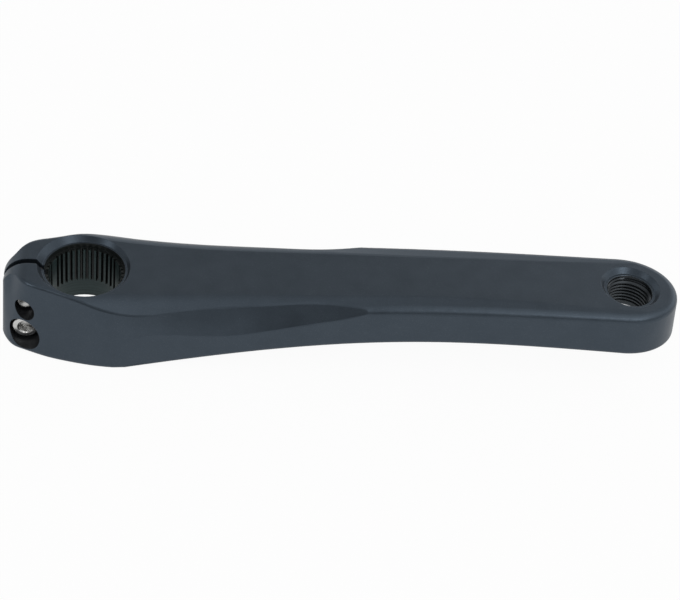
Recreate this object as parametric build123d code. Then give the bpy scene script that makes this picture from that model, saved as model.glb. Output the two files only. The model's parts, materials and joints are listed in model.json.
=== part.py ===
from build123d import *
import math
import os

# Left-hand bicycle crank arm with a split clamp, in millimetres.
# Origin on the spindle axis at the inner boss face, +Z outboard, +X towards the pedal axis.
# The arm is symmetric about the plane Y = 0, where the clamp is slit.

# Main sizes of the arm
CRANK_LENGTH = 170.0      # spindle axis to pedal axis
BOSS_HEIGHT = 22.8        # inner boss face to the rim of the bore
CLAMP_REACH = 24.65       # spindle axis to the end face of the clamp
HEAD_WIDTH = 29.6         # width at the pedal end, at the rim's height
HEAD_ROUND = 17.6         # length of the rounded pedal end in plan, half an ellipse
HEAD_WALL = 15.2          # pedal axis to the far end of the arm, at the rim's height
WAIST_WIDTH = 29.8        # narrowest width of the arm, at the rim's height
WALL_DRAFT = 3.5          # degrees that the sides lean out towards the inner face
END_DRAFT = 6.5           # degrees that the pedal end leans out
WAIST_TO_PEDAL = 42.0     # narrowest place to the pedal axis
ARM_THICKNESS = 13.9      # thickness where the arm is thinnest
HEAD_THICKNESS = 15.0     # thickness at the pedal axis
THINNEST_TO_PEDAL = 62.0  # thinnest place to the pedal axis
CREST_TO_PEDAL = 58.0     # highest place of the outer face to the pedal axis
EDGE_RADIUS = 1.3         # rounding of the edges of the flanks and of the inner side
RIDGE_RADIUS = 2.6        # rounding of the long outer edges
MARGIN_BLEND = 6.0        # rounding where the outer face turns down to its margins
UNDER_START = 13.4        # where the underside leaves the inner boss face
UNDER_FALL = 1.0          # drop of the underside from the pedal axis to far beyond the end

# Outer face: height above the rim of the bore
RISE_CLAMP = 1.2
RISE_BORE = 0.5
RISE_ARM = 2.4
RISE_HEAD = 1.9
END_ROUNDING = 8.0        # rounding of the clamp's outer end

# Spindle bore
SPLINE_ROOT_RADIUS = 12.0
SPLINE_TIP_RADIUS = 11.1
SPLINE_COUNT = 42
SPLINE_START = 7.3        # height of the inner end of the splines
SPLINE_LENGTH = 12.6
INNER_BORE_RADIUS = 12.1
OUTER_BORE_RADIUS = 12.3
RIM_RADIUS = 13.75        # outer radius of the rim chamfer at the rim's height
RIM_STEP_RADIUS = 12.9
RIM_STEP_DEPTH = 1.2
BORE_CHAMFER = 0.2        # at the inner end of the bore
WIDE_TOOTH_ANGLES = (31.5, 148.5)
GROOVE_MOUTH = 0.75       # width of a groove as a share of the pitch
GROOVE_FLOOR = 0.25

# Pedal hole
PEDAL_HOLE_RADIUS = 7.14
PEDAL_SEAT_RADIUS = 8.0
PEDAL_SEAT_DEPTH = 1.6
PEDAL_SEAT_FLARE = 1.4    # widening of the washer seat up to the outer face
PEDAL_CHAMFER = 0.2
PEDAL_INNER_CHAMFER = 1.6  # at the inner end of the hole

# Clamp slit and its two opposed screws
SLIT_WIDTH = 2.0
SCREW_SHARE = 0.415       # place of the screw axes between the bore's wall and the end face
INBOARD_AXIS_Z = 6.0
OUTBOARD_AXIS_Z = 14.2
SCREW_RADIUS = 3.0
SCREW_LENGTH = 14.0       # under the head
SCREW_HEAD_DIAMETER = 7.8
SCREW_HEAD_HEIGHT = 4.0
SOCKET_FLATS = 4.0
SOCKET_DEPTH = 3.0
SOCKET_ENTRY = 0.45       # chamfer round the hexagon
SCREW_HEAD_ROUNDING = 0.5
SCREW_TIP_CHAMFER = 0.7
INBOARD_HEAD_SIDE = -1    # the inboard head shows on the -Y flank
SCREW_CLEARANCE = 0.2
TAPPED_CLEARANCE = 0.03
SEAT_OFFSET = 5.4         # mid-plane to the floor of the counterbore
COUNTERBORE_CLEARANCE = 0.8
WASHER_THICKNESS = 0.8
WASHER_CLEARANCE = 0.2    # round the washer, inside and out

# Stopper plate in the slit
PLATE_SIDE_GAP = 0.3      # plate to each wall of the slit
PIVOT_CLEARANCE = 0.05
NOTCH_CLEARANCE = 0.15
PLATE_SWING = 30.0        # degrees
PLATE_END_MARGIN = 1.2    # plate set back from the end face
PLATE_TOP_MARGIN = 2.9    # plate set back from the outer face
PLATE_BORE_GAP = 0.6      # plate set back from the wall of the bore
PLATE_CORNER = 1.0
FINGER_REACH = 0.75       # past the roots of the splines
FINGER_ROOT = 2.0         # overlap with the plate
FINGER_HEIGHT = 2.0
FINGER_RISE = 2.0         # middle of the finger above the pivot
FINGER_CORNER = 0.5
NOTCH_OVERRUN = 1.0       # degrees past each end of the swing
NOTCH_STEPS = 12

# Heights and reaches that follow
ARM_END_X = CRANK_LENGTH + HEAD_WALL
HEAD_CENTRE_X = ARM_END_X - HEAD_ROUND
WAIST_X = CRANK_LENGTH - WAIST_TO_PEDAL
THINNEST_X = CRANK_LENGTH - THINNEST_TO_PEDAL
CREST_X = CRANK_LENGTH - CREST_TO_PEDAL
SCREW_AXIS_X = -INNER_BORE_RADIUS - SCREW_SHARE * (CLAMP_REACH - INNER_BORE_RADIUS)
COUNTERBORE_RADIUS = SCREW_HEAD_DIAMETER / 2 + COUNTERBORE_CLEARANCE

# Helping lengths of the bodies that cut
BEYOND = 60.0             # reach past the arm
PAST = 1.0                # start outside the face that is cut
ABOVE = 5.0               # reach over the outer face
LEAST_CREASE = 20.0       # degrees between two faces, from which their edge is rounded


def rim(rise):
    return BOSS_HEIGHT + rise


def height_on(line, x):
    low, high = 0.0, 1.0
    for _ in range(40):
        middle = (low + high) / 2
        if (line @ middle).X < x:
            low = middle
        else:
            high = middle
    return (line @ low).Z


# The outer face in side view, from the clamp to the pedal end
top_line = Spline(
    (-CLAMP_REACH - BEYOND, 0, rim(RISE_CLAMP)),
    (-CLAMP_REACH, 0, rim(RISE_CLAMP)),
    (SCREW_AXIS_X, 0, rim(RISE_CLAMP)),
    (0, 0, rim(RISE_BORE)),
    (CREST_X, 0, rim(RISE_ARM)),
    (CRANK_LENGTH, 0, rim(RISE_HEAD)),
    (ARM_END_X + BEYOND, 0, rim(RISE_HEAD)),
)


# Climb of the underside from the boss: place along the arm, share of the whole climb
UNDER_CLIMB = [(36.0, 0.33), (64.0, 0.69)]


def side_profile():
    under_waist = rim(RISE_ARM) - ARM_THICKNESS
    under_head = rim(RISE_HEAD) - HEAD_THICKNESS
    under_line = Spline(
        (UNDER_START, 0, 0),
        *[(x, 0, share * under_waist) for x, share in UNDER_CLIMB],
        (THINNEST_X, 0, under_waist),
        (CRANK_LENGTH, 0, under_head),
        (ARM_END_X + BEYOND, 0, under_head - UNDER_FALL),
    )
    low_left = (-CLAMP_REACH - BEYOND, 0, 0)
    base = Polyline(low_left, under_line @ 0)
    right = Line(under_line @ 1, top_line @ 1)
    left = Line(low_left, top_line @ 0)
    return make_face([base, under_line, right, top_line, left])


# Sides of the arm in plan, which the flanks cut back at the boss: place along the arm, half width
WALL = [
    (-CLAMP_REACH - 10, 23.9),
    (12.0, 19.4),
    (50.0, 16.8),
    (85.0, 15.4),
    (WAIST_X, WAIST_WIDTH / 2),
    (HEAD_CENTRE_X, HEAD_WIDTH / 2),
]
WALL_START_SLOPE = -0.1


def wall_outline(height):
    depth = BOSS_HEIGHT - height
    spread = depth * math.tan(math.radians(WALL_DRAFT))
    end_spread = depth * math.tan(math.radians(END_DRAFT))
    points = [Vector(x, half + spread, height) for x, half in WALL]
    length = HEAD_CENTRE_X - WALL[0][0]
    places = [(x - WALL[0][0]) / length for x, _ in WALL]
    ends = [Vector(length, length * WALL_START_SLOPE, 0), Vector(length, 0, 0)]
    half = Edge.make_spline(points, tangents=ends, parameters=places, scale=False)
    other = mirror(half, about=Plane.XZ)
    end_centre = (HEAD_CENTRE_X, 0, height)
    end = EllipticalCenterArc(
        end_centre, HEAD_ROUND + end_spread, HEAD_WIDTH / 2 + spread, -90, arc_size=180
    )
    back = Line(half @ 0, other @ 0)
    return make_face([half, end, other, back])


# Flank of the boss, running out along the arm as a hollow that ends in a point.
# Each row: place along the arm, half width at the rim's height, half width at the inner face,
# and how far the flank swells halfway up.
FLANK = [
    (-17.8, 9.2, 14.8, 0.0),
    (-11.0, 12.2, 17.5, 0.0),
    (-4.4, 14.6, 19.2, 0.1),
    (5.0, 16.7, 20.7, 0.5),
    (14.5, 16.6, 21.1, 1.0),
    (29.0, 14.6, 21.4, 1.2),
    (52.0, 13.4, 22.2, 0.4),
    (67.0, 12.8, 26.9, 0.0),
    (75.0, 13.2, 29.4, 0.0),
    (84.0, 14.6, 31.0, 0.0),
    (96.0, 17.2, 33.6, 0.0),
]
FLANK_CORNER_RIM = [(0.2, 0.9), (2.8, 3.9), (4.8, 6.6)]
FLANK_CORNER_BASE = [(0.0, 6.0), (1.4, 10.5), (3.8, 13.4)]
FLANK_TOP = BOSS_HEIGHT + ABOVE
ROOF_TOP = BOSS_HEIGHT + BEYOND


def flank_points(height):
    """Points of one flank's outline at a height: straight lines up the flank, arched by its swell."""
    at_rim = [Vector(x - CLAMP_REACH, y) for x, y in FLANK_CORNER_RIM]
    at_rim += [Vector(x, y) for x, y, _, _ in FLANK]
    at_base = [Vector(x - CLAMP_REACH, y) for x, y in FLANK_CORNER_BASE]
    at_base += [Vector(x, y) for x, _, y, _ in FLANK]
    swells = [0.0 for _ in FLANK_CORNER_RIM] + [swell for _, _, _, swell in FLANK]
    share = height / BOSS_HEIGHT
    arch = 4 * share * (1 - share)
    return [
        low + (high - low) * share + Vector(0, arch * swell)
        for low, high, swell in zip(at_base, at_rim, swells)
    ]


def flank_cutter():
    """The space outside one flank, from below the inner face to above the outer face."""
    run = [0.0]
    middle = flank_points(BOSS_HEIGHT / 2)
    for before, after in zip(middle, middle[1:]):
        run.append(run[-1] + (after - before).length)
    places = [length / run[-1] for length in run]
    faces = []
    for height in (-PAST, BOSS_HEIGHT / 2, FLANK_TOP):
        points = [point + Vector(0, 0, height) for point in flank_points(height)]
        ends = [Vector(0, run[-1], 0), (points[-1] - points[-2]).normalized() * run[-1]]
        line = Edge.make_spline(points, tangents=ends, parameters=places, scale=False)
        back = -CLAMP_REACH - BEYOND
        corners = [
            Vector(points[-1].X, BEYOND, height),
            Vector(back, BEYOND, height),
            Vector(back, 0, height),
            Vector(points[0].X, 0, height),
        ]
        rest = Polyline(points[-1], *corners, points[0])
        faces.append(make_face([line, *rest.edges()]))
    return loft(faces)


# Sloping margins of the outer face.
# Each row: place along the arm, half width of the flat middle, slope of the margin in degrees.
MARGIN = [
    (-CLAMP_REACH - 6, 16.5, 12.0),
    (-8.0, 14.6, 20.0),
    (14.5, 13.8, 40.0),
    (30.0, 12.9, 42.0),
    (52.0, 11.7, 33.0),
    (67.0, 10.8, 21.0),
    (84.0, 9.9, 12.0),
    (WAIST_X - 13, 9.3, 7.0),
    (CRANK_LENGTH - 20, 10.2, 5.0),
    (ARM_END_X + 6, 12.5, 3.5),
]
MARGIN_REACH = 30.0       # mid-plane to the outer end of the cutting body


def margin_cutter():
    """The space above one sloping margin, between the mid-plane and a plane beyond the flank."""
    places = [(x - MARGIN[0][0]) / (MARGIN[-1][0] - MARGIN[0][0]) for x, _, _ in MARGIN]
    faces = []
    for y in (0.0, MARGIN_REACH):
        points = []
        for x, half_flat, slope in MARGIN:
            fall = math.tan(math.radians(slope))
            points.append(Vector(x, y, height_on(top_line, x) + fall * (half_flat - y)))
        line = Edge.make_spline(points, parameters=places)
        roof = [Vector(points[-1].X, y, ROOF_TOP), Vector(points[0].X, y, ROOF_TOP)]
        rest = Polyline(points[-1], *roof, points[0])
        faces.append(make_face([line, *rest.edges()]))
    return loft(faces, ruled=True)


def margin_lines(body):
    """The two long lines where the outer face turns down to its margins."""
    boxes = [(edge, edge.bounding_box()) for edge in body.edges()]
    return [edge for edge, box in boxes if box.min.Z > BOSS_HEIGHT - PAST and box.size.X > THINNEST_X]


def creases(body):
    """The edges where two faces of the arm meet at a clear angle, past the end of the clamp."""
    found = []
    for edge in body.edges():
        faces = [face for face in body.faces() if any(edge.is_same(other) for other in face.edges())]
        first, second = [face.normal_at(edge.center()) for face in faces]
        if first.get_angle(second) > LEAST_CREASE and edge.bounding_box().max.X > -CLAMP_REACH:
            found.append(edge)
    return found


def arm_blank():
    """The forging without its holes. Its outer edges are rounded before the flanks cut into them."""
    body = loft([wall_outline(height) for height in (-PAST, FLANK_TOP)], ruled=True)
    body = body & extrude(Pos(0, BEYOND, 0) * side_profile(), 2 * BEYOND)
    margin = margin_cutter()
    body = (body - margin - mirror(margin, about=Plane.XZ)).solid()
    body = body.fillet(MARGIN_BLEND, margin_lines(body))
    ridge = [edge for edge in creases(body) if edge.bounding_box().min.Z > BOSS_HEIGHT / 2]
    body = body.fillet(RIDGE_RADIUS, ridge)
    flank = flank_cutter()
    body = (body - flank - mirror(flank, about=Plane.XZ)).solid()
    body = body.fillet(EDGE_RADIUS, creases(body))
    return round_clamp_end(body)


def round_clamp_end(body):
    """Rounds the outer end of the clamp."""
    top = rim(RISE_CLAMP)
    middle_x = END_ROUNDING - CLAMP_REACH
    corner = Pos(middle_x - END_ROUNDING, 0, top) * Box(2 * END_ROUNDING, BEYOND, 2 * END_ROUNDING)
    corner -= Pos(middle_x, 0, top - END_ROUNDING) * Rot(90, 0, 0) * Cylinder(END_ROUNDING, BEYOND)
    return body - corner


def bore_cutter():
    spline_end = SPLINE_START + SPLINE_LENGTH
    step = BOSS_HEIGHT - RIM_STEP_DEPTH
    flare = (RIM_RADIUS - RIM_STEP_RADIUS) / RIM_STEP_DEPTH
    top_radius = RIM_STEP_RADIUS + flare * (RIM_STEP_DEPTH + ABOVE)
    outline = Polyline(
        (0, 0, -PAST),
        (INNER_BORE_RADIUS + BORE_CHAMFER + PAST, 0, -PAST),
        (INNER_BORE_RADIUS, 0, BORE_CHAMFER),
        (INNER_BORE_RADIUS, 0, SPLINE_START),
        (SPLINE_TIP_RADIUS, 0, SPLINE_START),
        (SPLINE_TIP_RADIUS, 0, spline_end),
        (OUTER_BORE_RADIUS, 0, spline_end),
        (OUTER_BORE_RADIUS, 0, step),
        (RIM_STEP_RADIUS, 0, step),
        (top_radius, 0, BOSS_HEIGHT + ABOVE),
        (0, 0, BOSS_HEIGHT + ABOVE),
        close=True,
    )
    return revolve(make_face(outline), Axis.Z)


def spline_grooves():
    """Straight-sided grooves round the bore, leaving two wide teeth that set the arm's angle."""
    pitch = 2 * math.pi * SPLINE_TIP_RADIUS / SPLINE_COUNT
    mouth, floor = GROOVE_MOUTH * pitch / 2, GROOVE_FLOOR * pitch / 2
    inside = SPLINE_TIP_RADIUS - PAST / 2
    groove = make_face(Polyline(
        (inside, -mouth),
        (SPLINE_ROOT_RADIUS, -floor),
        (SPLINE_ROOT_RADIUS, floor),
        (inside, mouth),
        close=True,
    ))
    turn = 360 / SPLINE_COUNT
    wide_teeth = [int(angle // turn) for angle in WIDE_TOOTH_ANGLES]
    places = [index + 0.5 for index in range(SPLINE_COUNT) if index not in wide_teeth]
    grooves = Sketch() + [Rot(0, 0, turn * place) * groove for place in places]
    return Pos(0, 0, SPLINE_START) * extrude(grooves, SPLINE_LENGTH)


def along_y(x, z, radius, y_from, y_to):
    middle = (y_from + y_to) / 2
    return Pos(x, middle, z) * Rot(90, 0, 0) * Cylinder(radius, abs(y_to - y_from))


def screw_hole(axis_z, side):
    """Counterbore and clearance hole on the head's side, tapped hole on the other."""
    head = along_y(SCREW_AXIS_X, axis_z, COUNTERBORE_RADIUS, side * SEAT_OFFSET, side * BEYOND)
    clear = along_y(SCREW_AXIS_X, axis_z, SCREW_RADIUS + SCREW_CLEARANCE, 0, side * BEYOND)
    tapped = along_y(SCREW_AXIS_X, axis_z, SCREW_RADIUS + TAPPED_CLEARANCE, 0, -side * BEYOND)
    return head + clear + tapped


def pedal_hole_cutter():
    top = rim(RISE_HEAD)
    bottom = top - HEAD_THICKNESS
    seat = top - PEDAL_SEAT_DEPTH
    top_radius = PEDAL_SEAT_RADIUS + PEDAL_SEAT_FLARE * (1 + ABOVE / PEDAL_SEAT_DEPTH)
    outline = Polyline(
        (0, 0, bottom - ABOVE),
        (PEDAL_HOLE_RADIUS + PEDAL_INNER_CHAMFER + ABOVE, 0, bottom - ABOVE),
        (PEDAL_HOLE_RADIUS, 0, bottom + PEDAL_INNER_CHAMFER),
        (PEDAL_HOLE_RADIUS, 0, seat - PEDAL_CHAMFER),
        (PEDAL_HOLE_RADIUS + PEDAL_CHAMFER, 0, seat),
        (PEDAL_SEAT_RADIUS, 0, seat),
        (top_radius, 0, top + ABOVE),
        (0, 0, top + ABOVE),
        close=True,
    )
    return Pos(CRANK_LENGTH, 0, 0) * revolve(make_face(outline), Axis.Z)


def crank_arm():
    body = arm_blank()
    body = body - bore_cutter() - spline_grooves()
    slit = Box(CLAMP_REACH + PAST, SLIT_WIDTH, 2 * BOSS_HEIGHT + BEYOND)
    body = body - Pos(-(CLAMP_REACH + PAST) / 2, 0, 0) * slit
    body = body - screw_hole(INBOARD_AXIS_Z, INBOARD_HEAD_SIDE)
    body = body - screw_hole(OUTBOARD_AXIS_Z, -INBOARD_HEAD_SIDE)
    return body - pedal_hole_cutter()


def pinch_screw(axis_z, side):
    """Socket-head screw with its head on the given side of the slit."""
    under_head = SEAT_OFFSET + WASHER_THICKNESS
    shank = Cylinder(SCREW_RADIUS, SCREW_LENGTH, align=(Align.CENTER, Align.CENTER, Align.MAX))
    shank = chamfer(shank.edges().group_by(Axis.Z)[0], SCREW_TIP_CHAMFER)
    head = Cylinder(
        SCREW_HEAD_DIAMETER / 2, SCREW_HEAD_HEIGHT, align=(Align.CENTER, Align.CENTER, Align.MIN)
    )
    head = fillet(head.edges().group_by(Axis.Z)[-1], SCREW_HEAD_ROUNDING)
    hexagon = RegularPolygon(SOCKET_FLATS / 2, 6, major_radius=False)
    socket = Pos(0, 0, SCREW_HEAD_HEIGHT - SOCKET_DEPTH) * extrude(hexagon, SOCKET_DEPTH)
    entry = Pos(0, 0, SCREW_HEAD_HEIGHT) * Cone(
        SOCKET_FLATS / 2 - SOCKET_ENTRY, SOCKET_FLATS / 2 + SOCKET_ENTRY, 2 * SOCKET_ENTRY,
        align=(Align.CENTER, Align.CENTER, Align.MAX),
    )
    screw = shank + head - socket - entry
    return Pos(SCREW_AXIS_X, side * under_head, axis_z) * Rot(-90 * side, 0, 0) * screw


def pinch_washer(axis_z, side):
    ring = Cylinder(COUNTERBORE_RADIUS - WASHER_CLEARANCE, WASHER_THICKNESS)
    ring -= Cylinder(SCREW_RADIUS + WASHER_CLEARANCE, WASHER_THICKNESS)
    middle = SEAT_OFFSET + WASHER_THICKNESS / 2
    return Pos(SCREW_AXIS_X, side * middle, axis_z) * Rot(90, 0, 0) * ring


def stopper_plate():
    """Plate with an eye on the inboard screw, round which it swings; its notch passes the other screw."""
    spacing = OUTBOARD_AXIS_Z - INBOARD_AXIS_Z
    left = -CLAMP_REACH + PLATE_END_MARGIN - SCREW_AXIS_X
    right = -INNER_BORE_RADIUS - PLATE_BORE_GAP - SCREW_AXIS_X
    top = rim(RISE_CLAMP) - PLATE_TOP_MARGIN - INBOARD_AXIS_Z
    plate = RectangleRounded(right - left, top + PLATE_CORNER, PLATE_CORNER)
    plate = Pos((left + right) / 2, (top - PLATE_CORNER) / 2) * plate + Circle(right)
    end_corner = END_ROUNDING - PLATE_END_MARGIN
    inside_end = RectangleRounded(BEYOND, BEYOND, end_corner, align=(Align.MIN, Align.MAX))
    plate = plate & Pos(left, top) * inside_end
    tip = -SPLINE_ROOT_RADIUS + FINGER_REACH - SCREW_AXIS_X
    root = right - FINGER_ROOT
    finger = RectangleRounded(tip - root, FINGER_HEIGHT, FINGER_CORNER)
    plate = plate + Pos((root + tip) / 2, FINGER_RISE) * finger
    plate = plate - Circle(SCREW_RADIUS + PIVOT_CLEARANCE)
    first = 90 + NOTCH_OVERRUN
    sweep = PLATE_SWING + 2 * NOTCH_OVERRUN
    for step in range(NOTCH_STEPS + 1):
        angle = math.radians(first - sweep * step / NOTCH_STEPS)
        passage = Circle(SCREW_RADIUS + NOTCH_CLEARANCE)
        plate = plate - Pos(spacing * math.cos(angle), spacing * math.sin(angle)) * passage
    pivot = (SCREW_AXIS_X, SLIT_WIDTH / 2 - PLATE_SIDE_GAP, INBOARD_AXIS_Z)
    standing = Plane(pivot, x_dir=(1, 0, 0), z_dir=(0, -1, 0))
    return standing * extrude(plate, SLIT_WIDTH - 2 * PLATE_SIDE_GAP)


os.makedirs("parts", exist_ok=True)
NODES = {
    "crank_arm": crank_arm(),
    "pinch_bolt_inboard": pinch_screw(INBOARD_AXIS_Z, INBOARD_HEAD_SIDE),
    "pinch_bolt_outboard": pinch_screw(OUTBOARD_AXIS_Z, -INBOARD_HEAD_SIDE),
    "pinch_washer_inboard": pinch_washer(INBOARD_AXIS_Z, INBOARD_HEAD_SIDE),
    "pinch_washer_outboard": pinch_washer(OUTBOARD_AXIS_Z, -INBOARD_HEAD_SIDE),
    "stopper_plate": stopper_plate(),
}
for name, node in NODES.items():
    export_step(node, f"parts/{name}.step")
    print(name, "valid", node.is_valid, "volume", round(node.volume, 1))
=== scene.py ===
import json
import math

import bpy
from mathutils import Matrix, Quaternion, Vector


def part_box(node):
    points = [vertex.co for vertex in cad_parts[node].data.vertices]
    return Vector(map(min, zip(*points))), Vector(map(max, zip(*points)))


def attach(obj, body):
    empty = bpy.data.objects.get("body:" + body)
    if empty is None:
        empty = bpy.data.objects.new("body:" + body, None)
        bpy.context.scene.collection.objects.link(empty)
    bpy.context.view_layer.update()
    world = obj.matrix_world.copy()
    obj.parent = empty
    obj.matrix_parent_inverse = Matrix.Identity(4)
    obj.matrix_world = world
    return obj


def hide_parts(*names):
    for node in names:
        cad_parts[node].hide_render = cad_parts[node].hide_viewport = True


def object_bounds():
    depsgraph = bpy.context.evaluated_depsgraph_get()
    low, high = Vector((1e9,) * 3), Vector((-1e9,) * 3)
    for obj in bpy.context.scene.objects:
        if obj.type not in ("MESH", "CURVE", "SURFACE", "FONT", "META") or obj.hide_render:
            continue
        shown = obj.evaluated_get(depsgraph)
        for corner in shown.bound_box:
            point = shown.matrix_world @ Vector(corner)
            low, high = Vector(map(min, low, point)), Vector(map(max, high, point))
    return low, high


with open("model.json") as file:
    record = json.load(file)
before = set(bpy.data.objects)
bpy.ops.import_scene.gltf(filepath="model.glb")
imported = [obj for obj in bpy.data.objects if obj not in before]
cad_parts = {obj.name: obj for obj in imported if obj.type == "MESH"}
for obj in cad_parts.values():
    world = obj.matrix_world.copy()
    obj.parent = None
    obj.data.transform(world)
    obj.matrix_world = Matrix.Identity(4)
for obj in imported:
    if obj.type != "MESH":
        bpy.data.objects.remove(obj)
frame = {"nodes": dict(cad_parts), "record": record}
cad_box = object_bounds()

# Left-hand bicycle crank arm: finishes, pedal thread, threaded pinch screws, floor, light and camera.
# All lengths are in metres, in the frame of the arm: +X to the pedal, +Z outboard.

MM = 0.001
nodes = frame["nodes"]
mounts = {mount["name"]: mount for mount in frame["record"]["mounts"]}

# Pedal thread, 9/16 inch by 20 turns per inch, left-hand
INCH = 25.4 * MM
THREAD_PITCH = INCH / 20
THREAD_DEPTH = 0.54 * THREAD_PITCH
THREAD_CREST_SHARE = 0.125       # half widths as shares of the pitch
THREAD_ROOT_SHARE = 0.4375
THREAD_STEPS = 72                # per turn
THREAD_RUNOUT = 0.6              # turns over which each end fades into the wall
THREAD_TOP_MARGIN = 0.35 * MM
THREAD_OVERLAP = 0.01 * MM       # the ridge reaches this far into the wall

# Pinch screws
SCREW_SIDES = {"pinch_bolt_inboard": -1, "pinch_bolt_outboard": 1}   # side of the slit with the head
SLIT_HALF = 1.05 * MM
SCREW_RADIUS = 3.0 * MM
SCREW_PITCH = 1.0 * MM
SCREW_THREAD_DEPTH = 0.55 * MM
SCREW_UNDER_HEAD = 14.0 * MM
SCREW_PLAIN = 1.2 * MM           # shank without thread under the head
SCREW_TIP = 0.9 * MM             # length of the tapered tip
SCREW_TIP_RADIUS = 2.2 * MM
SCREW_TIP_HOLLOW = 0.35 * MM     # depth of the dished end
HEAD_RADIUS = 3.9 * MM
HEAD_HEIGHT = 4.0 * MM
HEAD_ROUNDING = 0.45 * MM
SOCKET_FLATS = 4.0 * MM
SOCKET_DEPTH = 3.0 * MM
SOCKET_ENTRY = 0.35 * MM
SOCKET_POINT = 0.5 * MM          # drilled point under the socket: its depth, and that of its ring
SOCKET_POINT_RING = 0.2 * MM
TIP_FLAT_SHARE = 0.8             # shares of the tip's radius: its flat ring and its dished end
TIP_DISH_SHARE = 0.5
ROUNDING_STEPS = 6
SCREW_SEGMENTS = 60
ROWS_PER_TURN = 12
SMOOTH_ANGLE = math.radians(35)  # sharper edges of the threads stay sharp

# Where the finishes of the arm lie: in the bore, the pedal hole and the screw holes, each out to a radius
BORE_FINISH_RADIUS = 12.45 * MM
# Faces beyond the tooth tips and above the splines' inner end get painted shade: the grooves and the smooth
# stretch above the splines
TOOTH_TIP_RADIUS = 11.15 * MM    # beyond it lie the grooves between the splines
SPLINE_START = 7.35 * MM         # height of their inner end
PEDAL_FINISH_RADIUS = 7.2 * MM
# Out to these radii round the screw axes, the holes get painted shade
COUNTERBORE_FINISH_RADIUS = 4.75 * MM
TAPPED_FINISH_RADIUS = 3.1 * MM

# Reliefs: depth, strength, radius to which edges look rounded
COAT_RELIEF = (0.02 * MM, 0.25, 0.25 * MM)
MACHINED_RELIEF = (0.02 * MM, 0.3, 0.1 * MM)
STEEL_RELIEF = (0.01 * MM, 0.2, 0.08 * MM)
BEVEL_SAMPLES = 6

# Coat of the arm: a ground and flakes, each mottled between two shades
COAT_GROUND = [(0.0545, 0.0705, 0.089), (0.0595, 0.0765, 0.096)]
COAT_FLAKES = [(0.085, 0.103, 0.125), (0.10, 0.12, 0.145)]
COAT_ROUGHNESS = (0.32, 0.40)
COAT_METAL = 0.9
MOTTLE_SCALE = 160
FLAKE_SCALE = 5200
FLAKE_SPAN = (0.60, 0.78)        # levels of the noise between which a flake comes up
PEEL_SCALE = 2600

# Anodised finishes of the holes, the groove one a darker copy of the bore's as painted shade: name, scale
# of the rings, two shades, roughness, metal
MACHINED = {
    "bore": ("bore_anodised", 2200, (0.020, 0.037, 0.038), (0.040, 0.069, 0.070), 0.36, 0.4),
    "pedal": ("pedal_hole_anodised", 2600, (0.03, 0.035, 0.04), (0.06, 0.068, 0.075), 0.2, 0.8),
    # screw holes: turned rings, in shades darker than the coat as painted shade in the holes
    "screw": ("screw_hole_anodised_painted_shade", 2600, (0.025, 0.027, 0.03), (0.045, 0.048, 0.052), 0.32, 0.6),
    # painted shade: a darker copy of the bore finish, in the grooves and the smooth stretch above the
    # splines
    "groove": ("groove_painted_shade", 2200, (0.011, 0.014, 0.014), (0.022, 0.027, 0.026), 0.3, 0.4),
}
FINISHES = ["coat", *MACHINED]   # in the order of the arm's materials
RING_STRETCH = (0.02, 0.02, 1)
RING_ROUGHNESS = 0.06            # to each side of the mean

# Plated steel: name, two shades, roughness
SCREW_PLATING = ("screw_plating", (0.6, 0.6, 0.59), (0.68, 0.68, 0.67), 0.24)
WASHER_PLATING = ("washer_plating", (0.4, 0.4, 0.4), (0.5, 0.5, 0.5), 0.32)
STEEL_GRAIN_SCALE = 3500
STEEL_CLOUD_SCALE = 500
STEEL_SMOOTHER = 0.05            # roughness below and above the mean
STEEL_ROUGHER = 0.07

# Moulded plastic
PLASTIC_SHADES = [(0.016, 0.017, 0.018), (0.03, 0.031, 0.033)]
PLASTIC_ROUGHNESS = (0.42, 0.55)
PLASTIC_GRAIN_SCALE = 4000

# Camera
CAMERA_PLACE = Vector((0.02371, -0.38848, 0.36628))
CAMERA_AIM = Vector((0.07813, -0.00699, 0.020))
CAMERA_ROLL = math.radians(8.0)
CAMERA_LENS = 89.27              # millimetres, on a 36 mm sensor
CAMERA_NEAR = 0.01

# Light of the room by height, as shares of ROOM_LEVEL: sine of the elevation, level
ROOM_LEVEL = 1.25
BACK_LIGHT = [(0.0, 0.2), (0.36, 0.85), (0.55, 0.4), (0.68, 0.2), (0.82, 0.46), (1.0, 0.5)]
FRONT_LIGHT = [(0.0, 0.14), (0.4, 0.18), (0.6, 0.36), (0.85, 0.42), (1.0, 0.5)]
BACK_FADE = 0.35                 # sine of the turn over which front fades to back

# Change of that light from left to right: place on X, factor
BACK_SIDES = [(-0.4, 0.85), (0.6, 1.45)]
FRONT_SIDES = [(0.0, 0.95), (0.3, 2.8)]

# Lamps: name, place, aim, side of the square, watts
LAMPS = [
    ("key", (-0.7, -0.45, 0.55), (0, 0, 0), 0.3, 1.1),
    ("front", (0.5, -0.55, 0.5), (0.14, 0, 0), 0.3, 0.5),
]

# Floor
FLOOR_HALF = 1.5
FLOOR_GAP = 0.1 * MM             # under the arm
FLOOR_COLOUR = (0.86, 0.86, 0.86, 1)
FLOOR_ROUGHNESS = 0.9
FLOOR_WHITE = 0.95               # share of plain white that the camera sees under the shadow
FLOOR_MIRRORED = 0.6             # the same share in what the arm mirrors


def new_material(name):
    """A material with its node tree and its main shader."""
    material = bpy.data.materials.new(name)
    material.use_nodes = True
    tree = material.node_tree
    return material, tree, tree.nodes["Principled BSDF"]


def add(tree, kind, **inputs):
    """A node of a kind with some of its inputs set; input names use _ for a space."""
    node = tree.nodes.new(kind)
    for name, value in inputs.items():
        node.inputs[name.replace("_", " ")].default_value = value
    return node


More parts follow.
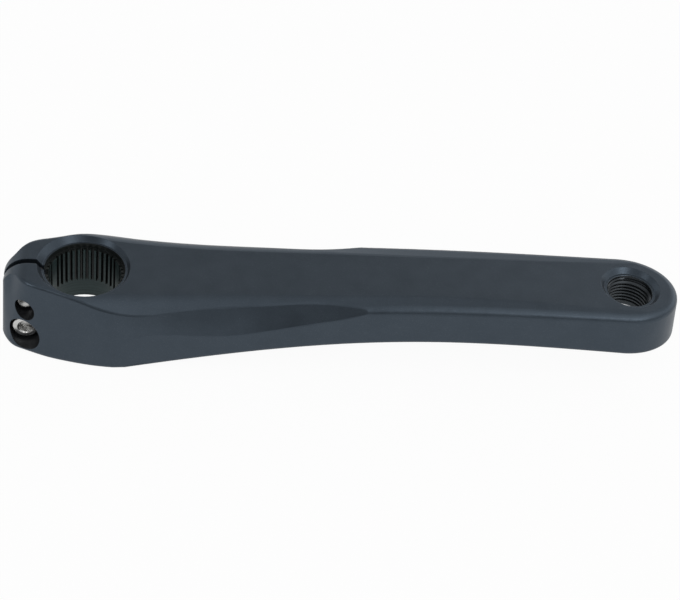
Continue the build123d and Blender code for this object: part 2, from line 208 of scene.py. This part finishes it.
def noise(tree, scale, detail, stretch=(1, 1, 1)):
    """Noise in the frame of the object, with its features stretched along an axis if asked."""
    place = add(tree, "ShaderNodeTexCoord")
    mapping = add(tree, "ShaderNodeMapping", Scale=stretch)
    texture = add(tree, "ShaderNodeTexNoise", Scale=scale, Detail=detail)
    tree.links.new(place.outputs["Object"], mapping.inputs["Vector"])
    tree.links.new(mapping.outputs["Vector"], texture.inputs["Vector"])
    return texture.outputs["Fac"]


def ramp(tree, value, low, high, start=0.3, end=0.7):
    """A smooth change between two colours as a value climbs."""
    node = tree.nodes.new("ShaderNodeValToRGB")
    node.color_ramp.elements[0].position = start
    node.color_ramp.elements[1].position = end
    node.color_ramp.elements[0].color = (*low, 1)
    node.color_ramp.elements[1].color = (*high, 1)
    tree.links.new(value, node.inputs["Fac"])
    return node.outputs["Color"]


def spread(tree, value, low, high):
    """A value between 0 and 1 spread over a range."""
    node = add(tree, "ShaderNodeMapRange", To_Min=low, To_Max=high)
    tree.links.new(value, node.inputs["Value"])
    return node.outputs["Result"]


def mix_colours(tree, share, first, second):
    """The first colour where a share is 0, the second where it is 1."""
    node = tree.nodes.new("ShaderNodeMix")
    node.data_type = "RGBA"
    tree.links.new(share, node.inputs["Factor"])
    tree.links.new(first, node.inputs["A"])
    tree.links.new(second, node.inputs["B"])
    return node.outputs["Result"]


def bump(tree, shader, height, relief):
    """Fine relief, over edges that look rounded to a radius."""
    depth, strength, edge_radius = relief
    node = add(tree, "ShaderNodeBump", Strength=strength, Distance=depth)
    tree.links.new(height, node.inputs["Height"])
    bevel = add(tree, "ShaderNodeBevel", Radius=edge_radius)
    bevel.samples = BEVEL_SAMPLES
    tree.links.new(bevel.outputs["Normal"], node.inputs["Normal"])
    tree.links.new(node.outputs["Normal"], shader.inputs["Normal"])


def arm_coating():
    """Dark metallic satin coat with fine flakes, faint mottling and a soft orange-peel relief."""
    material, tree, shader = new_material("arm_coating")
    mottle = noise(tree, MOTTLE_SCALE, 3)
    flakes = noise(tree, FLAKE_SCALE, 1)
    ground = ramp(tree, mottle, *COAT_GROUND)
    bright = ramp(tree, mottle, *COAT_FLAKES)
    sparkle = ramp(tree, flakes, (0, 0, 0), (1, 1, 1), *FLAKE_SPAN)
    tree.links.new(mix_colours(tree, sparkle, ground, bright), shader.inputs["Base Color"])
    tree.links.new(spread(tree, mottle, *COAT_ROUGHNESS), shader.inputs["Roughness"])
    shader.inputs["Metallic"].default_value = COAT_METAL
    bump(tree, shader, noise(tree, PEEL_SCALE, 2), COAT_RELIEF)
    return material


def machined_dark(name, lines, dark, light, rough, metal):
    """Turned and anodised surface: fine rings round the axis of a hole."""
    material, tree, shader = new_material(name)
    rings = noise(tree, lines, 2, RING_STRETCH)
    roughness = spread(tree, rings, rough - RING_ROUGHNESS, rough + RING_ROUGHNESS)
    tree.links.new(ramp(tree, rings, dark, light), shader.inputs["Base Color"])
    tree.links.new(roughness, shader.inputs["Roughness"])
    shader.inputs["Metallic"].default_value = metal
    bump(tree, shader, rings, MACHINED_RELIEF)
    return material


def plated_steel(name, dark, light, rough):
    """Bright plated steel with fine grain."""
    material, tree, shader = new_material(name)
    grain = noise(tree, STEEL_GRAIN_SCALE, 3)
    cloud = noise(tree, STEEL_CLOUD_SCALE, 2)
    roughness = spread(tree, grain, rough - STEEL_SMOOTHER, rough + STEEL_ROUGHER)
    tree.links.new(ramp(tree, cloud, dark, light), shader.inputs["Base Color"])
    tree.links.new(roughness, shader.inputs["Roughness"])
    shader.inputs["Metallic"].default_value = 1.0
    bump(tree, shader, grain, STEEL_RELIEF)
    return material


def moulded_plastic():
    """Dark moulded plastic with a fine grain."""
    material, tree, shader = new_material("stopper_plastic")
    grain = noise(tree, PLASTIC_GRAIN_SCALE, 2)
    tree.links.new(ramp(tree, grain, *PLASTIC_SHADES), shader.inputs["Base Color"])
    tree.links.new(spread(tree, grain, *PLASTIC_ROUGHNESS), shader.inputs["Roughness"])
    bump(tree, shader, grain, MACHINED_RELIEF)
    return material


def in_screw_hole(mesh, face, axis, side):
    """True where a face of the arm lies inside a screw's hole: the counterbore or the tapped end."""
    if abs(face.center.y) < SLIT_HALF:
        return False
    limit = COUNTERBORE_FINISH_RADIUS if side * face.center.y > 0 else TAPPED_FINISH_RADIUS
    corners = [mesh.vertices[index].co for index in face.vertices]
    return all(math.hypot(corner.x - axis.x, corner.z - axis.z) < limit for corner in corners)


def finish_of(mesh, face, pedal, screws):
    """The finish of a face of the arm, by the hole that it lies in, with painted shade in the bore's
    grooves and in the screw holes.
    """
    from_spindle = math.hypot(face.center.x, face.center.y)
    if from_spindle < BORE_FINISH_RADIUS:
        # painted shade in the grooves and in the smooth stretch above the splines
        in_painted_shade = from_spindle > TOOTH_TIP_RADIUS and face.center.z > SPLINE_START
        return "groove" if in_painted_shade else "bore"
    if math.hypot(face.center.x - pedal.x, face.center.y - pedal.y) < PEDAL_FINISH_RADIUS:
        return "pedal"
    # painted shade inside the screw holes, in the counterbore and the tapped end
    if any(in_screw_hole(mesh, face, axis, side) for axis, side in screws):
        return "screw"
    return "coat"


def finish_arm():
    """The coat on the forging, the machined finish in the bore and in the holes, and painted shade in the
    bore's grooves and in the screw holes.
    """
    mesh = nodes["crank_arm"].data
    mesh.materials.clear()
    mesh.materials.append(arm_coating())
    for values in MACHINED.values():
        mesh.materials.append(machined_dark(*values))
    pedal = Vector(mounts["pedal_thread"]["pos_m"])
    screws = [(sum(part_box(node), Vector()) / 2, side) for node, side in SCREW_SIDES.items()]
    for face in mesh.polygons:
        face.material_index = FINISHES.index(finish_of(mesh, face, pedal, screws))
    return mesh.materials[FINISHES.index("pedal")]


def mesh_piece(name, points, faces, material, body):
    """A smooth mesh that rides on a body of the frame."""
    mesh = bpy.data.meshes.new(name)
    mesh.from_pydata(points, [], faces)
    mesh.materials.append(material)
    mesh.shade_smooth()
    mesh.set_sharp_from_angle(angle=SMOOTH_ANGLE)
    piece = bpy.data.objects.new(name, mesh)
    bpy.context.scene.collection.objects.link(piece)
    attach(piece, body)
    return piece


def ring_faces(rows, count, closed):
    """Quads between rows of points, round each row if it is closed."""
    faces = []
    for row in range(rows - 1):
        for step in range(count if closed else count - 1):
            after = (step + 1) % count
            low, high = row * count, (row + 1) * count
            faces.append((low + step, low + after, high + after, high + step))
    return faces


def pedal_thread(material):
    """The ridge of the left-hand thread, from the underside up to the washer seat."""
    mount = mounts["pedal_thread"]
    axis = Vector(mount["pos_m"])
    wall = mount["dims"]["r_mm"] * MM
    half = mount["dims"]["length_mm"] * MM / 2
    bottom = axis.z - half + THREAD_ROOT_SHARE * THREAD_PITCH
    top = axis.z + half - THREAD_ROOT_SHARE * THREAD_PITCH - THREAD_TOP_MARGIN
    turns = (top - bottom) / THREAD_PITCH
    count = int(turns * THREAD_STEPS)
    points = []
    for step in range(count + 1):
        turn = turns * step / count
        fade = min(1.0, turn / THREAD_RUNOUT, (turns - turn) / THREAD_RUNOUT)
        crest = wall - THREAD_DEPTH * fade
        middle = bottom + turn * THREAD_PITCH
        angle = -2 * math.pi * turn
        profile = [
            (wall + THREAD_OVERLAP, -THREAD_ROOT_SHARE),
            (crest, -THREAD_CREST_SHARE),
            (crest, THREAD_CREST_SHARE),
            (wall + THREAD_OVERLAP, THREAD_ROOT_SHARE),
        ]
        for radius, share in profile:
            height = middle + share * THREAD_PITCH
            points.append((axis.x + radius * math.cos(angle), axis.y + radius * math.sin(angle), height))
    faces = ring_faces(count + 1, len(profile), closed=False)
    return mesh_piece("pedal_thread", points, faces, material, "arm")


def hexagon_radius(flats, angle):
    """Distance from the middle of a hexagon to its side, in a direction."""
    sector = math.pi / 3
    return flats / 2 / math.cos((angle + sector / 2) % sector - sector / 2)


def screw_rows():
    """Rows of a screw from the middle of its socket to its tip: height and radius by direction."""
    def plain(radius):
        return lambda angle: radius

    def socket(angle):
        return hexagon_radius(SOCKET_FLATS, angle)

    def half_socket(angle):
        return socket(angle) / 2

    rows = [
        (HEAD_HEIGHT - SOCKET_DEPTH - SOCKET_POINT, plain(0)),
        (HEAD_HEIGHT - SOCKET_DEPTH - SOCKET_POINT_RING, half_socket),
        (HEAD_HEIGHT - SOCKET_DEPTH, socket),
        (HEAD_HEIGHT - SOCKET_ENTRY, socket),
        (HEAD_HEIGHT, plain(SOCKET_FLATS / 2 / math.cos(math.pi / 6) + SOCKET_ENTRY / 2)),
    ]
    for step in range(ROUNDING_STEPS + 1):
        bend = math.pi / 2 * step / ROUNDING_STEPS
        radius = HEAD_RADIUS - HEAD_ROUNDING * (1 - math.sin(bend))
        rows.append((HEAD_HEIGHT - HEAD_ROUNDING * (1 - math.cos(bend)), plain(radius)))
    rows += [(0.0, plain(HEAD_RADIUS)), (0.0, plain(SCREW_RADIUS)), (-SCREW_PLAIN, plain(SCREW_RADIUS))]
    threaded = SCREW_UNDER_HEAD - SCREW_PLAIN
    count = int(threaded / SCREW_PITCH * ROWS_PER_TURN)
    for step in range(count + 1):
        along = SCREW_PLAIN + threaded * step / count
        rows.append((-along, thread_radius(along)))
    end = -SCREW_UNDER_HEAD
    dish = end + SCREW_TIP_HOLLOW
    rows.append((end, plain(TIP_FLAT_SHARE * SCREW_TIP_RADIUS)))
    return rows + [(dish, plain(TIP_DISH_SHARE * SCREW_TIP_RADIUS)), (dish, plain(0))]


def thread_radius(along):
    """Radius by direction of a right-hand V thread at a distance under the head, tapered at the tip."""
    limit = SCREW_RADIUS
    to_tip = SCREW_UNDER_HEAD - along
    if to_tip < SCREW_TIP:
        limit = SCREW_TIP_RADIUS + (SCREW_RADIUS - SCREW_TIP_RADIUS) * to_tip / SCREW_TIP
    start = min(1.0, (along - SCREW_PLAIN) / SCREW_PITCH)

    def radius(angle):
        phase = (along / SCREW_PITCH - angle / (2 * math.pi)) % 1.0
        groove = 1 - abs(2 * phase - 1)
        return min(limit, SCREW_RADIUS - SCREW_THREAD_DEPTH * start * groove)

    return radius


def pinch_screw(node, material):
    """A socket-head screw with a cut thread, in the place of the plain one."""
    low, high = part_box(node)
    middle = (low + high) / 2
    out = SCREW_SIDES[node]
    seat = (high.y - HEAD_HEIGHT) if out > 0 else (low.y + HEAD_HEIGHT)
    points = []
    for height, radius in screw_rows():
        for step in range(SCREW_SEGMENTS):
            angle = 2 * math.pi * step / SCREW_SEGMENTS
            reach = radius(angle)
            across = Vector((reach * math.cos(angle), 0, -out * reach * math.sin(angle)))
            points.append(Vector((middle.x, seat + out * height, middle.z)) + across)
    faces = ring_faces(len(points) // SCREW_SEGMENTS, SCREW_SEGMENTS, closed=True)
    piece = mesh_piece(node + "_threaded", points, faces, material, "arm")
    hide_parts(node)
    return piece


def paint(node, material):
    """One finish on the whole of a piece."""
    mesh = nodes[node].data
    mesh.materials.clear()
    mesh.materials.append(material)


def combined(tree, operation, first, second):
    """Two values, the second linked or constant, joined by a plain operation."""
    node = tree.nodes.new("ShaderNodeMath")
    node.operation = operation
    tree.links.new(first, node.inputs[0])
    if isinstance(second, float):
        node.inputs[1].default_value = second
    else:
        tree.links.new(second, node.inputs[1])
    return node.outputs["Value"]


def white_share(tree):
    """How much plain white a ray sees in the floor: most of it from the camera, less in a mirror."""
    path = add(tree, "ShaderNodeLightPath")
    direct = combined(tree, "MULTIPLY", path.outputs["Is Camera Ray"], FLOOR_WHITE)
    indirect = combined(tree, "MAXIMUM", path.outputs["Is Glossy Ray"], path.outputs["Is Transmission Ray"])
    return combined(tree, "MAXIMUM", direct, combined(tree, "MULTIPLY", indirect, FLOOR_MIRRORED))


def floor():
    """Plain white floor that keeps a faint shadow."""
    mesh = bpy.data.meshes.new("floor")
    side = FLOOR_HALF
    corners = [(-side, -side, 0), (side, -side, 0), (side, side, 0), (-side, side, 0)]
    mesh.from_pydata(corners, [], [(0, 1, 2, 3)])
    material, tree, shader = new_material("floor_white")
    shader.inputs["Base Color"].default_value = FLOOR_COLOUR
    shader.inputs["Roughness"].default_value = FLOOR_ROUGHNESS
    shader.inputs["Specular IOR Level"].default_value = 0.0
    glow = add(tree, "ShaderNodeEmission", Strength=1.0)
    mix = tree.nodes.new("ShaderNodeMixShader")
    tree.links.new(white_share(tree), mix.inputs["Fac"])
    tree.links.new(shader.outputs["BSDF"], mix.inputs[1])
    tree.links.new(glow.outputs["Emission"], mix.inputs[2])
    tree.links.new(mix.outputs["Shader"], tree.nodes["Material Output"].inputs["Surface"])
    mesh.materials.append(material)
    piece = bpy.data.objects.new("floor", mesh)
    bpy.context.scene.collection.objects.link(piece)
    piece.location.z = min(cad_box[0].z, 0.0) - FLOOR_GAP


def area_lamp(name, place, aim, size, power):
    """A soft square lamp turned to a point."""
    lamp = bpy.data.lights.new(name, "AREA")
    lamp.shape = "SQUARE"
    lamp.size = size
    lamp.energy = power
    holder = bpy.data.objects.new(name, lamp)
    holder.location = place
    holder.rotation_euler = (Vector(aim) - Vector(place)).to_track_quat("-Z", "Y").to_euler()
    bpy.context.scene.collection.objects.link(holder)


def steps(tree, value, stops):
    """A grey level that follows a value through a list of places and levels."""
    node = tree.nodes.new("ShaderNodeFloatCurve")
    curve = node.mapping.curves[0]
    while len(curve.points) < len(stops):
        curve.points.new(0.5, 0.5)
    for point, (place, level) in zip(curve.points, stops):
        point.location = (place, level)
    node.mapping.update()
    tree.links.new(value, node.inputs["Value"])
    return node.outputs["Value"]


def sideways(tree, place, ends):
    """A factor that climbs from one end of a range to the other."""
    (start, low), (end, high) = ends
    node = add(tree, "ShaderNodeMapRange", From_Min=start, From_Max=end, To_Min=low, To_Max=high)
    tree.links.new(place, node.inputs["Value"])
    return node.outputs["Result"]


def world_light():
    """White to the camera; as light, a room that is bright low at the back and darker in front."""
    world = bpy.data.worlds.new("surroundings")
    bpy.context.scene.world = world
    world.use_nodes = True
    tree = world.node_tree
    direction = add(tree, "ShaderNodeTexCoord")
    parts = add(tree, "ShaderNodeSeparateXYZ")
    tree.links.new(direction.outputs["Generated"], parts.inputs["Vector"])
    height = parts.outputs["Z"]
    across = parts.outputs["X"]
    walls = []
    for levels, sides in ((FRONT_LIGHT, FRONT_SIDES), (BACK_LIGHT, BACK_SIDES)):
        wall = steps(tree, height, levels)
        walls.append(combined(tree, "MULTIPLY", wall, sideways(tree, across, sides)))
    front, back = walls
    to_back = add(tree, "ShaderNodeMapRange", From_Min=-BACK_FADE, From_Max=BACK_FADE)
    tree.links.new(parts.outputs["Y"], to_back.inputs["Value"])
    room = tree.nodes.new("ShaderNodeMix")
    tree.links.new(to_back.outputs["Result"], room.inputs["Factor"])
    tree.links.new(front, room.inputs["A"])
    tree.links.new(back, room.inputs["B"])
    lit = combined(tree, "MULTIPLY", room.outputs["Result"], ROOM_LEVEL)
    seen = tree.nodes.new("ShaderNodeMix")
    path = add(tree, "ShaderNodeLightPath")
    tree.links.new(path.outputs["Is Camera Ray"], seen.inputs["Factor"])
    tree.links.new(lit, seen.inputs["A"])
    seen.inputs["B"].default_value = 1.0
    background = tree.nodes["Background"]
    background.inputs["Color"].default_value = (1, 1, 1, 1)
    tree.links.new(seen.outputs["Result"], background.inputs["Strength"])


def camera():
    """The camera at the photo's angle, rolled about its own axis."""
    lens = bpy.data.cameras.new("camera")
    lens.lens = CAMERA_LENS
    lens.clip_start = CAMERA_NEAR
    holder = bpy.data.objects.new("camera", lens)
    holder.rotation_mode = "QUATERNION"
    holder.location = CAMERA_PLACE
    ahead = (CAMERA_AIM - CAMERA_PLACE).to_track_quat("-Z", "Y")
    holder.rotation_quaternion = ahead @ Quaternion((0, 0, 1), CAMERA_ROLL)
    bpy.context.scene.collection.objects.link(holder)
    bpy.context.scene.camera = holder


thread_finish = finish_arm()
pedal_thread(thread_finish)
screw_steel = plated_steel(*SCREW_PLATING)
for bolt in SCREW_SIDES:
    pinch_screw(bolt, screw_steel)
washer_steel = plated_steel(*WASHER_PLATING)
paint("pinch_washer_inboard", washer_steel)
paint("pinch_washer_outboard", washer_steel)
paint("stopper_plate", moulded_plastic())

floor()
world_light()
for lamp_values in LAMPS:
    area_lamp(*lamp_values)
camera()
bpy.context.scene.view_settings.view_transform = "Standard"
